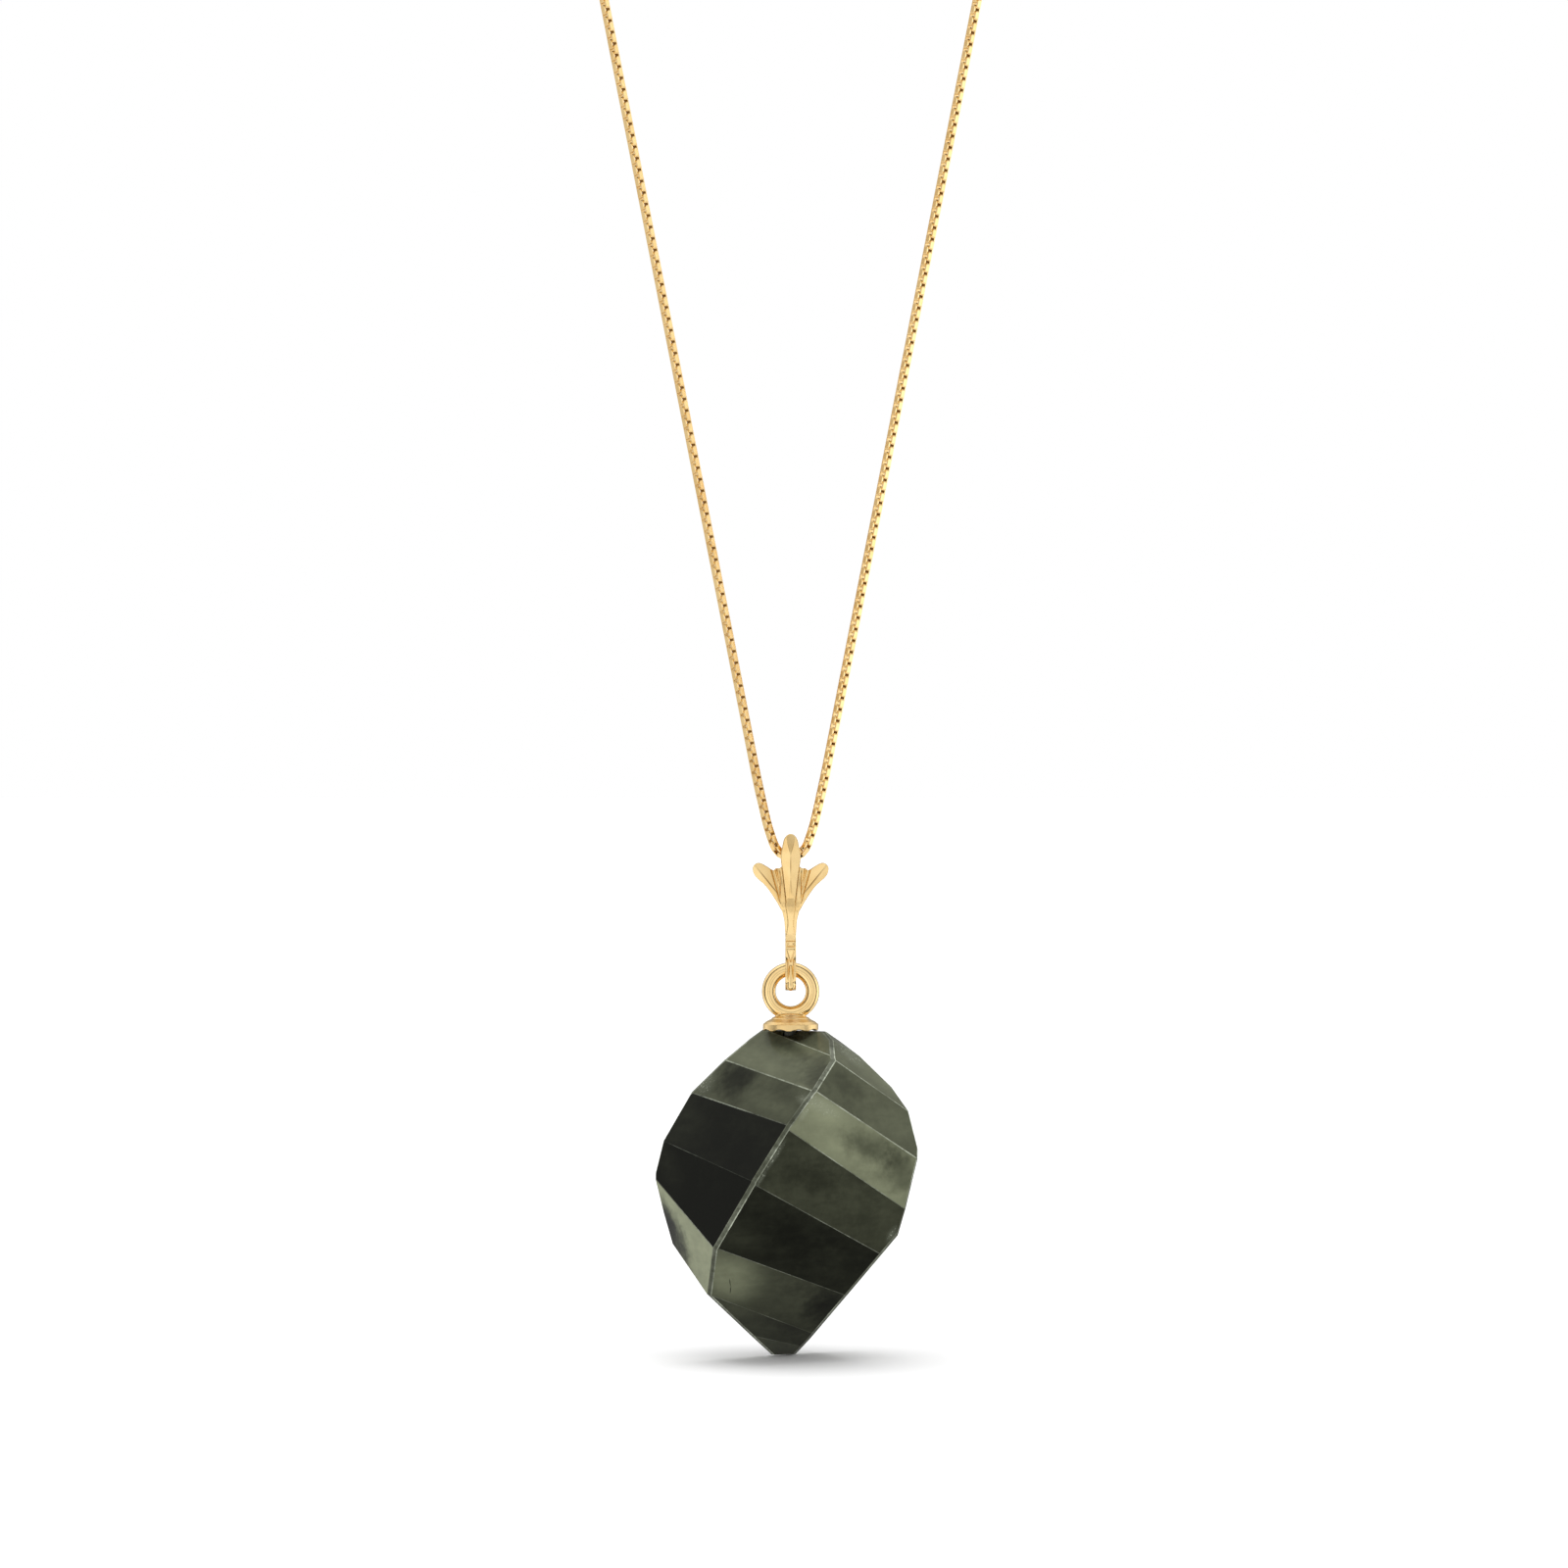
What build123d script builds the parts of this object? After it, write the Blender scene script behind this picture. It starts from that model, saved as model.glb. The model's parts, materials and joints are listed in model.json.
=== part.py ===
from build123d import *
import os
from math import cos, degrees, hypot, pi, radians, sin, tan

# A gemstone pendant necklace. Lengths are in millimetres and angles in degrees.
# The loop hangs in the XZ plane and is seen from -Y. The origin is the underside
# of the loop's crown, where a neck carries it.

# Chain and its loop
NECKLACE_LENGTH = 457.0
CHAIN_DIAMETER = 0.58
SIDE_LEAN = 11.1
CROWN_CORNERS = 5
ARC_SHARE = 0.45
# Half of the chain's bend under the pendant, out from the middle and up from the
# lowest centre. The last point starts the straight side.
CHAIN_BEND = [(0.40, 0.00), (0.76, 0.40), (1.10, 1.39), (1.58, 3.47)]

# Clasp, the rings that tie it and the loops that end the chain
CLASP_RADIUS = 2.05
CLASP_WIRE = 0.90
CLASP_EYE_RADIUS = 0.70
CLASP_EYE_WIRE = 0.44
END_RING_RADIUS = 1.10
END_RING_WIRE = 0.44
CHAIN_EYE_RADIUS = 0.50
CHAIN_EYE_WIRE = 0.34
LINK_PLAY = 0.08

# Bail
SEAT_GAP = 0.05
EYE_HOLE_RADIUS = 0.42
EYE_WIRE = 0.54
STEM_TOP_DROP = 0.054
LEAF_BACK = 0.45
LEAF_FRONT = 0.92
LEAF_REACH = 1.82
LEAF_ROOT_DROP = 2.44
WEB_DROP = 0.60
LEAF_TILTS = (-12, 18)
FLUTE_RADIUS = 0.12
FLUTE_TOP_BACK = 0.24
SLIT_WIDTH = 0.10
SLIT_LENGTH = 0.30
SLIT_DROP = 0.14
SLIT_SINK = 0.26
CENTRE_LEAF_FRONT = 1.00
CENTRE_LEAF_TOP = 1.05
CENTRE_LEAF_WIDTH = 0.95
CENTRE_LEAF_TILT = 26
CENTRE_LEAF_SPREAD = 0.13
LEAF_NOD = 7
ROOT_SLOPE = 16
STEM_LENGTH = 1.79
STEM_DEPTH = 0.80
RIDGE_RISE = 0.09
NOTCH_HEIGHT = 0.31
NOTCH_BACK = 0.25
NOTCH_TIP = 0.087
BEAD_DIAMETER = 0.16
BEAD_LENGTH = 0.44
HOOK_LENGTH = 1.61
HOOK_WIDTH = 0.52
HOOK_WALL = 0.35
HOOK_HEIGHT = 0.63
HOOK_SHOULDER = 0.35
SLOT_PLAY = 0.08
SLOT_ROOM = 0.37
BAR_RADIUS = 0.30
BAR_CUT_DEPTH = 0.664
BAR_CUT_HEIGHT = 0.40
GROOVE_WIDTH = 0.28
GROOVE_DEPTH = 0.15
TONGUE_LENGTH = 0.63
TONGUE_WIDTH = 0.38
TONGUE_RISE = 0.065
DROP_LENGTH = 1.21
DROP_RADIUS = 0.22
DROP_NECK_RADIUS = 0.07
DROP_SINK = 0.175

# Half outlines of the bail. Out is a share of half the piece's width. Along is a
# share of the way from one level to another: from the leaves' root up to the
# centre leaf's tip or to the web, or from the root down to the waist.
CENTRE_LEAF = [
    # out, along
    (0.38, 0.00), (0.58, 0.19), (0.89, 0.54), (1.00, 0.645), (0.98, 0.73), (0.81, 0.85), (0.69, 0.92),
]
SIDE_LEAF_UPPER = [
    # out, along
    (0.396, 1.0), (0.467, 0.951), (0.544, 0.995), (0.646, 1.06), (0.747, 1.117), (0.868, 1.141),
    (0.956, 1.092), (1.0, 0.978),
]
SIDE_LEAF_LOWER = [
    # out, along
    (1.0, 0.978), (0.929, 0.793), (0.72, 0.603), (0.538, 0.386), (0.39, 0.163), (0.247, -0.087),
]
LEAF_CREASE = [
    # out, along
    (0.956, 1.103), (0.17, 0.136),
]
STEM_HALF = [
    # out, along
    (1.92, 0.0), (1.54, 0.14), (1.19, 0.35), (1.08, 0.54), (1.0, 0.76),
]
RIDGE_HALF = [
    # out, along
    (0.35, -0.263), (0.87, -0.056), (0.73, 0.134), (0.49, 0.447), (0.62, 0.63), (0.96, 0.916),
]

# The stem from the side, from under the eye down to the waist: how far its front
# and its back stand from the chain's plane, as shares of its depth.
STEM_SIDES = [
    # along, front, back
    (0.0, 0.78, 1.0),
    (0.25, 1.0, 0.65),
    (0.51, 0.98, 0.45),
    (0.745, 0.75, 0.41),
    (1.0, 0.52, 0.45),
]

# The web's flutes, as shares of the side leaf's reach
FLUTES = [
    # top, root
    (0.37, 0.166),
    (0.558, 0.19),
]

# Soldered ring and cap
RING_RADIUS = 1.05
RING_WIRE = 0.67
RING_SINK = 0.30
CAP_HEIGHT = 0.80
CAP_RADIUS = 1.33
CAP_WALL = 0.22
SCALLOPS = 9
SCALLOP_TURN = 6
SCALLOP_DEPTH = 0.08
SCALLOP_RADIUS = 0.85
PEG_RADIUS = 0.30
PEG_LENGTH = 3.0
PEG_GAP = 0.08

# The cap's steps from its top to its rim: out as a share of its radius, down as
# a share of its height.
CAP_STEPS = [
    # out, down
    (0.0, 0.0), (0.40, 0.0), (0.50, 0.06), (0.52, 0.14), (0.66, 0.22), (0.68, 0.29),
    (0.90, 0.47), (0.94, 0.55), (1.0, 0.60), (1.0, 1.0), (0.0, 1.0),
]

# Stone
STONE_RADIUS = 6.40
STONE_GAP = 0.03
# How far the table stands over the stone's centre and the foot under it, as
# shares of the radius
TABLE_SHARE = 1.088
FOOT_SHARE = 1.356

# Facets of the stone's front, ground flat one by one. Each has its turn from the
# front about the stone's axis, its slope up from the vertical, and its distance
# from the stone's centre as a share of the radius. The last column is the
# distance of the like facet half a turn round, on the back.
FACETS = [
    # turn, slope, front, back
    (-29.0, 64.5, 0.975, 1.070),
    (-39.0, 51.5, 0.865, 0.935),
    (-44.0, 37.5, 0.790, 0.815),
    (-46.0, 29.0, 0.770, 0.800),
    (-51.5, 6.0, 0.810, 0.650),
    (-63.0, -13.0, 0.900, 0.695),
    (-94.5, -40.0, 0.995, 0.895),
    (82.5, 53.5, 1.035, 1.015),
    (69.5, 43.0, 0.985, 0.945),
    (45.5, 15.5, 0.850, 0.700),
    (33.0, -6.0, 0.695, 0.540),
    (30.0, -11.0, 0.675, 0.515),
    (16.0, -34.0, 0.690, 0.960),
    (14.0, -37.5, 0.715, 1.025),
    (11.0, -42.0, 0.780, 1.105),
    (8.0, -48.0, 0.880, 1.180),
    (-92.5, -41.5, 1.015, 0.920),
    (-12.0, -65.0, 1.265, 1.345),
]


def run_length(a, b):
    return hypot(b[0] - a[0], b[1] - a[1])


# Places worked out from the sizes above
chain_half = CHAIN_DIAMETER / 2
lean = radians(SIDE_LEAN)
bend_out, bend_up = CHAIN_BEND[-1]
bend_length = 2 * CHAIN_BEND[0][0] + 2 * sum(run_length(a, b) for a, b in zip(CHAIN_BEND, CHAIN_BEND[1:]))
crown_radius = (NECKLACE_LENGTH - bend_length + 2 * bend_out / sin(lean)) / (2 / tan(lean) + pi + 2 * lean)
crown_centre_up = bend_up + (crown_radius - bend_out * cos(lean)) / sin(lean)
crown_z = chain_half
pivot_z = crown_z - crown_centre_up - crown_radius
eye_z = chain_half + SEAT_GAP - EYE_HOLE_RADIUS
stem_top = eye_z - EYE_HOLE_RADIUS - STEM_TOP_DROP
waist_z = -LEAF_ROOT_DROP - STEM_LENGTH
bar_top = waist_z - HOOK_LENGTH
hook_low = bar_top - HOOK_HEIGHT
slot_radius = RING_WIRE / 2 + SLOT_PLAY
slot_low_centre = bar_top + slot_radius
slot_top = bar_top + SEAT_GAP + RING_WIRE + SLOT_ROOM
hook_out = slot_radius + HOOK_WALL
bead_out = STEM_SIDES[-1][1] * STEM_DEPTH + BEAD_DIAMETER / 2
bead_z = waist_z - NOTCH_HEIGHT / 2 - BEAD_DIAMETER / 4
tongue_top = bead_z - BEAD_DIAMETER / 4
tongue_tip = tongue_top - TONGUE_LENGTH
ring_z = bar_top + SEAT_GAP - (RING_RADIUS - RING_WIRE / 2)
cap_top_z = ring_z - RING_RADIUS - RING_WIRE / 2 + RING_SINK
cap_bottom_z = cap_top_z - CAP_HEIGHT
stone_z = cap_bottom_z - STONE_GAP - TABLE_SHARE * STONE_RADIUS


# Helpers

def hooked(radius_a, wire_a, radius_b, wire_b):
    """Distance between the centres of two linked rings that are pulled apart."""
    return radius_a + radius_b - (wire_a + wire_b) / 2 - LINK_PLAY


def flat_ring(radius, wire, x):
    """A ring that lies level at the crown, centred at x."""
    return Pos(x, 0, crown_z) * Torus(radius, wire / 2)


def upright_ring(radius, wire, x, z):
    """A ring that stands in the XZ plane."""
    return Pos(x, 0, z) * Rot(90, 0, 0) * Torus(radius, wire / 2)


def rod(start, end, radius):
    """A round bar from one point to another."""
    way = Vector(*end) - Vector(*start)
    place = Plane(origin=start, z_dir=way)
    return place * Cylinder(radius, way.length, align=(Align.CENTER, Align.CENTER, Align.MIN))


def front_plate(face, back, front):
    """A plate cut to a face drawn in x and z, from the depth back to the depth front, towards the viewer."""
    return extrude(Plane.XZ.offset(back) * face, amount=front - back)


def mirrored(half):
    """The points of a half outline with its mirror image, once round."""
    return half + [(-x, z) for x, z in reversed(half) if x > 0]


# Chain, rings and clasp

clasp_eye_step = CLASP_RADIUS + CLASP_WIRE / 2 + CLASP_EYE_RADIUS
left_ring_step = hooked(CLASP_EYE_RADIUS, CLASP_EYE_WIRE, END_RING_RADIUS, END_RING_WIRE)
right_ring_step = hooked(CLASP_RADIUS, CLASP_WIRE, END_RING_RADIUS, END_RING_WIRE)
chain_eye_step = hooked(END_RING_RADIUS, END_RING_WIRE, CHAIN_EYE_RADIUS, CHAIN_EYE_WIRE)
left_reach = clasp_eye_step + left_ring_step + chain_eye_step + CHAIN_EYE_RADIUS
right_reach = right_ring_step + chain_eye_step + CHAIN_EYE_RADIUS
chain_end = (left_reach + right_reach) / 2
clasp_x = (left_reach - right_reach) / 2
clasp_eye_x = clasp_x - clasp_eye_step
left_ring_x = clasp_eye_x - left_ring_step
right_ring_x = clasp_x + right_ring_step


def chain_route():
    """The corners of the chain's route, from its right end round the pendant to its left end."""
    turn = (pi / 2 + lean) / CROWN_CORNERS
    corner_radius = crown_radius / cos(turn / 2)
    half = [(chain_end, crown_z)]
    for corner in range(CROWN_CORNERS):
        angle = (corner + 0.5) * turn
        up = pivot_z + crown_centre_up + corner_radius * cos(angle)
        half.append((corner_radius * sin(angle), up))
    half += [(x, pivot_z + z) for x, z in reversed(CHAIN_BEND)]
    return half + [(-x, z) for x, z in reversed(half)]


def corner_radii(route):
    """The largest arc for each corner that leaves a little of both its runs straight."""
    radii = []
    for before, corner, after in zip(route, route[1:], route[2:]):
        way_in = Vector(corner[0] - before[0], corner[1] - before[1])
        way_out = Vector(after[0] - corner[0], after[1] - corner[1])
        turn = radians(way_in.get_angle(way_out))
        radii.append(ARC_SHARE * min(way_in.length, way_out.length) / tan(turn / 2))
    return radii


def chain():
    route = chain_route()
    radii = corner_radii(route)
    print("chain radii", [round(radius, 2) for radius in radii])
    path = FilletPolyline(*[(x, 0, z) for x, z in route], radius=radii)
    tube = sweep(Plane(origin=path @ 0, z_dir=path % 0) * Circle(chain_half), path=path)
    section = pi * chain_half ** 2
    print("chain volume", round(tube.volume, 3), "section times length", round(section * path.length, 3))
    print("chain length", round(path.length, 1), "loop height", round(crown_z - pivot_z, 1))
    for side in (-1, 1):
        eye_x = side * (chain_end - CHAIN_EYE_RADIUS)
        tube += flat_ring(CHAIN_EYE_RADIUS, CHAIN_EYE_WIRE, eye_x)
    return tube


def clasp():
    main = flat_ring(CLASP_RADIUS, CLASP_WIRE, clasp_x)
    return main + flat_ring(CLASP_EYE_RADIUS, CLASP_EYE_WIRE, clasp_eye_x)


# Bail, drawn round the chain's lowest centre

def half_outline(shares, half_width, start, end):
    """Points in millimetres, from rows of how far out and how far along from one level to another each lies."""
    return [(out * half_width, start + along * (end - start)) for out, along in shares]


def stem_line(column, rise=0.0):
    """The stem's front or back from the side, from under the eye to the waist."""
    side = -1 if column == 1 else 1
    return [(side * (row[column] * STEM_DEPTH + rise), stem_top + row[0] * (waist_z - stem_top)) for row in STEM_SIDES]


def stem():
    """The strap that runs down from the eye and closes round the pendant's ring."""
    shoulder_z = slot_low_centre + HOOK_SHOULDER
    front = stem_line(1) + [(-hook_out, shoulder_z)]
    back = stem_line(2) + [(hook_out, shoulder_z)]
    lines = Spline(*front)
    lines += Line(front[-1], (-hook_out, slot_low_centre))
    lines += ThreePointArc((-hook_out, slot_low_centre), (0, hook_low), (hook_out, slot_low_centre))
    lines += Line((hook_out, slot_low_centre), back[-1])
    lines += Spline(*reversed(back))
    lines += Line(back[0], front[0])
    side = extrude(Plane.YZ * make_face(lines), amount=LEAF_REACH, both=True)
    half = half_outline(STEM_HALF, HOOK_WIDTH / 2, -LEAF_ROOT_DROP, waist_z)
    half = [(half[0][0], 0)] + half + [(half[-1][0], 2 * hook_low)]
    outline = make_face(Polyline(*mirrored(half), close=True))
    return side & front_plate(outline, -2 * hook_out, 2 * hook_out)


def ring_slot():
    """The hole through the hook in which the pendant's ring hangs."""
    height = slot_top - slot_radius - slot_low_centre
    face = Rot(0, 0, 90) * SlotCenterToCenter(height, 2 * slot_radius)
    place = Plane.YZ.offset(-LEAF_REACH) * Pos(0, slot_low_centre + height / 2)
    return extrude(place * face, amount=2 * LEAF_REACH)


def bar_crown():
    """What is cut away over the hook's bar, so that the ring rolls on a round back."""
    over = Pos(0, 0, bar_top) * Box(2 * HOOK_WIDTH, BAR_CUT_DEPTH, BAR_CUT_HEIGHT)
    return over - Pos(0, 0, bar_top - BAR_RADIUS) * Rot(90, 0, 0) * Cylinder(BAR_RADIUS, 2 * hook_out)


def sloped_root(leaf):
    """A leaf whose lower end slopes back to the stem's front."""
    way = Vector(0, -cos(radians(ROOT_SLOPE)), -sin(radians(ROOT_SLOPE)))
    return split(leaf, Plane(origin=(0, -STEM_DEPTH, -LEAF_ROOT_DROP), z_dir=way), keep=Keep.BOTTOM)


def centre_leaf():
    """The upright leaf before the eye, with a ridge down its middle and a nodding tip."""
    half = half_outline(CENTRE_LEAF, CENTRE_LEAF_WIDTH / 2, -LEAF_ROOT_DROP, CENTRE_LEAF_TOP)
    tip = (0, CENTRE_LEAF_TOP)
    right = Spline(*half, tip, tangents=[(CENTRE_LEAF_SPREAD, 1), (-1, 0)])
    left = Spline(*[(-x, z) for x, z in half], tip, tangents=[(-CENTRE_LEAF_SPREAD, 1), (1, 0)])
    outline = right + left + Line((half[0][0], half[0][1]), (-half[0][0], half[0][1]))
    leaf = front_plate(make_face(outline), LEAF_BACK, CENTRE_LEAF_FRONT)
    for tilt in (-CENTRE_LEAF_TILT, CENTRE_LEAF_TILT):
        way = Vector(sin(radians(tilt)), -cos(radians(tilt)), 0)
        leaf = split(leaf, Plane(origin=(0, -CENTRE_LEAF_FRONT, 0), z_dir=way), keep=Keep.BOTTOM)
    nod = Vector(0, -cos(radians(LEAF_NOD)), sin(radians(LEAF_NOD)))
    leaf = split(leaf, Plane(origin=(0, -CENTRE_LEAF_FRONT, 0), z_dir=nod), keep=Keep.BOTTOM)
    return sloped_root(leaf)


def side_leaf():
    """The right leaf with the web beside it, creased from its tip to its root and fluted on the web."""
    upper = half_outline(SIDE_LEAF_UPPER, LEAF_REACH, -LEAF_ROOT_DROP, -WEB_DROP)
    lower = half_outline(SIDE_LEAF_LOWER, LEAF_REACH, -LEAF_ROOT_DROP, -WEB_DROP)
    web_corner = (0, upper[0][1])
    root_corner = (0, lower[-1][1])
    outline = Line(web_corner, upper[0]) + Spline(*upper) + Spline(*lower)
    outline += Line(lower[-1], root_corner) + Line(root_corner, web_corner)
    leaf = front_plate(make_face(outline), LEAF_BACK, LEAF_FRONT)
    (tip_x, tip_z), (root_x, root_z) = half_outline(LEAF_CREASE, LEAF_REACH, -LEAF_ROOT_DROP, -WEB_DROP)
    crease_tip = Vector(tip_x, -LEAF_FRONT, tip_z)
    along = (Vector(root_x, -LEAF_FRONT, root_z) - crease_tip).normalized()
    across = Vector(along.Z, 0, -along.X)
    for tilt in LEAF_TILTS:
        way = Vector(0, -cos(radians(tilt)), 0) + across * sin(radians(tilt))
        leaf = split(leaf, Plane(origin=crease_tip, z_dir=way), keep=Keep.BOTTOM)
    for top_out, root_out in FLUTES:
        top = (top_out * LEAF_REACH, FLUTE_TOP_BACK - LEAF_FRONT, 0)
        root = (root_out * LEAF_REACH, -LEAF_FRONT, -LEAF_ROOT_DROP)
        leaf -= rod(top, root, FLUTE_RADIUS)
    leaf = sloped_root(leaf)
    slit_x = (CENTRE_LEAF_WIDTH + SLIT_WIDTH) / 2
    slit_z = -WEB_DROP - SLIT_DROP - SLIT_LENGTH / 2
    return leaf - Pos(slit_x, -LEAF_FRONT, slit_z) * Box(SLIT_WIDTH, 2 * SLIT_SINK, SLIT_LENGTH)


def ridge():
    """The raised ridge that runs from the centre leaf's root down the stem to the waist."""
    half = half_outline(RIDGE_HALF, HOOK_WIDTH / 2, -LEAF_ROOT_DROP, waist_z)
    left = [(-x, z) for x, z in reversed(half)]
    outline = Spline(*half) + Line(half[-1], left[0]) + Spline(*left) + Line(left[-1], half[0])
    plate = front_plate(make_face(outline), 0, 2 * STEM_DEPTH)
    front = stem_line(1, RIDGE_RISE)[1:]
    lines = Spline(*front) + Polyline(front[-1], (0, front[-1][1]), (0, front[0][1]), front[0])
    return plate & extrude(Plane.YZ * make_face(lines), amount=HOOK_WIDTH, both=True)


def waist_bead():
    half = BEAD_LENGTH / 2
    return rod((-half, -bead_out, bead_z), (half, -bead_out, bead_z), BEAD_DIAMETER / 2)


def waist_notch(side):
    """The nick that pinches one side of the stem's front at the waist."""
    outer = side * HOOK_WIDTH
    inner = side * NOTCH_TIP
    face = make_face(Polyline((outer, waist_z + NOTCH_HEIGHT), (outer, waist_z - NOTCH_HEIGHT), (inner, waist_z),
                              close=True))
    return front_plate(face, NOTCH_BACK, 2 * hook_out)


def hook_groove():
    """The groove down the hook's front, which leaves a rail on each side."""
    low = bar_top - GROOVE_DEPTH
    middle = (tongue_top + low) / 2
    return Pos(0, -hook_out, middle) * Box(GROOVE_WIDTH, 2 * GROOVE_DEPTH, tongue_top - low)


def tongue():
    """The pointed tongue under the waist, between the hook's rails."""
    half = TONGUE_WIDTH / 2
    face = make_face(Polyline((-half, tongue_top), (half, tongue_top), (0, tongue_tip), close=True))
    front = [(-bead_out, tongue_top), (-hook_out - TONGUE_RISE, tongue_tip)]
    side = make_face(Polyline(*front, (-slot_radius - TONGUE_RISE, tongue_tip), (0, tongue_top), close=True))
    return front_plate(face, 0, 2 * hook_out) & extrude(Plane.YZ * side, amount=HOOK_WIDTH, both=True)


def end_drop():
    """The drop at the front of the hook's foot: a cone that ends in a ball."""
    top = hook_low + DROP_LENGTH
    ball_z = hook_low + DROP_RADIUS
    flare = (DROP_RADIUS - DROP_NECK_RADIUS) / (top - ball_z)
    side = (DROP_RADIUS * cos(flare), ball_z + DROP_RADIUS * sin(flare))
    below = pi / 4
    low = (DROP_RADIUS * sin(below), ball_z - DROP_RADIUS * cos(below))
    line = Line((DROP_NECK_RADIUS, top), side) + ThreePointArc(side, low, (0, hook_low))
    face = make_face(line + Polyline((0, hook_low), (0, top), (DROP_NECK_RADIUS, top)))
    return Pos(0, DROP_SINK - hook_out, 0) * revolve(Plane.XZ * face, Axis.Z)


def bail():
    eye = Pos(0, 0, eye_z) * Rot(0, 90, 0) * Torus(EYE_HOLE_RADIUS + EYE_WIRE / 2, EYE_WIRE / 2)
    right_leaf = side_leaf()
    body = stem()
    for piece in (right_leaf, mirror(right_leaf, Plane.YZ), centre_leaf(), ridge(), eye):
        body += piece
    for cut in (ring_slot(), bar_crown(), hook_groove(), waist_notch(-1), waist_notch(1)):
        body -= cut
    for piece in (waist_bead(), tongue(), end_drop()):
        body += piece
    return Pos(0, 0, pivot_z) * body


# Cap with its soldered ring, and the stone

def stone_cap():
    """The stepped cap with a scalloped rim, its soldered ring, and the peg that is glued in the stone."""
    steps = [(out * CAP_RADIUS, -down * CAP_HEIGHT) for out, down in CAP_STEPS]
    cap = revolve(Plane.XZ * make_face(Polyline(*steps, close=True)), Axis.Z)
    hollow_height = 2 * SCALLOP_DEPTH
    cap -= Pos(0, 0, hollow_height / 2 - CAP_HEIGHT) * Cylinder(CAP_RADIUS - CAP_WALL, hollow_height)
    scallop = Pos(CAP_RADIUS, 0, SCALLOP_DEPTH - SCALLOP_RADIUS - CAP_HEIGHT) * Rot(0, 90, 0)
    scallop = scallop * Cylinder(SCALLOP_RADIUS, 3 * CAP_WALL)
    for number in range(SCALLOPS):
        cap -= Rot(0, 0, SCALLOP_TURN + number * 360 / SCALLOPS) * scallop
    peg_height = PEG_LENGTH + CAP_HEIGHT / 2
    cap += Pos(0, 0, -CAP_HEIGHT / 2 - peg_height / 2) * Cylinder(PEG_RADIUS, peg_height)
    cap = Pos(0, 0, cap_top_z) * cap
    cap += upright_ring(RING_RADIUS, RING_WIRE, 0, ring_z)
    return Pos(0, 0, pivot_z) * cap


def stone():
    body = Cylinder(2 * STONE_RADIUS, 4 * STONE_RADIUS)
    for turn, slope, front, back in FACETS:
        for half_turn, reach in ((0, front), (180, back)):
            angle = radians(turn + half_turn)
            level = cos(radians(slope))
            way = Vector(sin(angle) * level, -cos(angle) * level, sin(radians(slope)))
            body = split(body, Plane(origin=way * reach * STONE_RADIUS, z_dir=way), keep=Keep.BOTTOM)
    body = split(body, Plane.XY.offset(TABLE_SHARE * STONE_RADIUS), keep=Keep.BOTTOM)
    body = split(body, Plane.XY.offset(-FOOT_SHARE * STONE_RADIUS), keep=Keep.TOP)
    bore_depth = PEG_LENGTH + 2 * PEG_GAP
    body -= Pos(0, 0, TABLE_SHARE * STONE_RADIUS - bore_depth / 2) * Cylinder(PEG_RADIUS + PEG_GAP, bore_depth)
    return Pos(0, 0, pivot_z + stone_z) * body


pieces = {
    "chain": chain(),
    "clasp": clasp(),
    "end_ring_left": upright_ring(END_RING_RADIUS, END_RING_WIRE, left_ring_x, crown_z),
    "end_ring_right": upright_ring(END_RING_RADIUS, END_RING_WIRE, right_ring_x, crown_z),
    "bail": bail(),
    "stone_cap": stone_cap(),
    "stone": stone(),
}

os.makedirs("parts", exist_ok=True)
for name, piece in pieces.items():
    export_step(piece, f"parts/{name}.step")
    print(name, "solids", len(piece.solids()), "volume", round(piece.volume, 2))
print("crown radius", round(crown_radius, 2), "pivot", round(pivot_z, 2), "stone centre", round(stone_z, 2))
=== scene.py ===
"""A gemstone pendant necklace.

A fine gold box chain carries a three-leaf bail, a capped ring and a twisted faceted stone.
"""

import json
from collections import namedtuple
from math import cos, pi, radians, sin, tan

import bmesh
import bpy
import numpy as np
from bpy.props import FloatProperty, FloatVectorProperty, IntProperty, PointerProperty
from mathutils import Matrix, Vector


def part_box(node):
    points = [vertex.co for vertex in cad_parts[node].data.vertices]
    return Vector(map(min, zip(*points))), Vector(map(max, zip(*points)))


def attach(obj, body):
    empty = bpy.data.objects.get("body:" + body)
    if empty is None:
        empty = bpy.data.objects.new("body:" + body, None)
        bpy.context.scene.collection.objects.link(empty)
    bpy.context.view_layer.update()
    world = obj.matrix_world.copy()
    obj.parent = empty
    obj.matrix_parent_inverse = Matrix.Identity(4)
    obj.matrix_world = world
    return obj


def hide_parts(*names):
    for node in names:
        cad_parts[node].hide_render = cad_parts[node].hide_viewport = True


bl_info = {
    "name": "Gemstone pendant necklace",
    "version": (1, 0, 0),
    "blender": (4, 5, 0),
    "location": "View3D > Sidebar > Necklace",
    "description": "Dresses a box chain necklace with a leaf bail and a twisted faceted stone",
    "category": "Add Mesh",
}

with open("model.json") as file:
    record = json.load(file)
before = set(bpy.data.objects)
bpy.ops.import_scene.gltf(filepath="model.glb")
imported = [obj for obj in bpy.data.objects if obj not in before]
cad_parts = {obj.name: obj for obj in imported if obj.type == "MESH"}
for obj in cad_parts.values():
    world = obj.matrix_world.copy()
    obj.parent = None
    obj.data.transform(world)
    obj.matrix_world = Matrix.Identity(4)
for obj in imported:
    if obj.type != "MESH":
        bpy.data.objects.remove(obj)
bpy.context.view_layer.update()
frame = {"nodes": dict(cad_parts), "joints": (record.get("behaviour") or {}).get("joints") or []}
joints = {joint["name"]: joint for joint in frame["joints"]}

# Lengths are in metres, and tables of lengths are in millimetres
MM = 0.001
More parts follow.
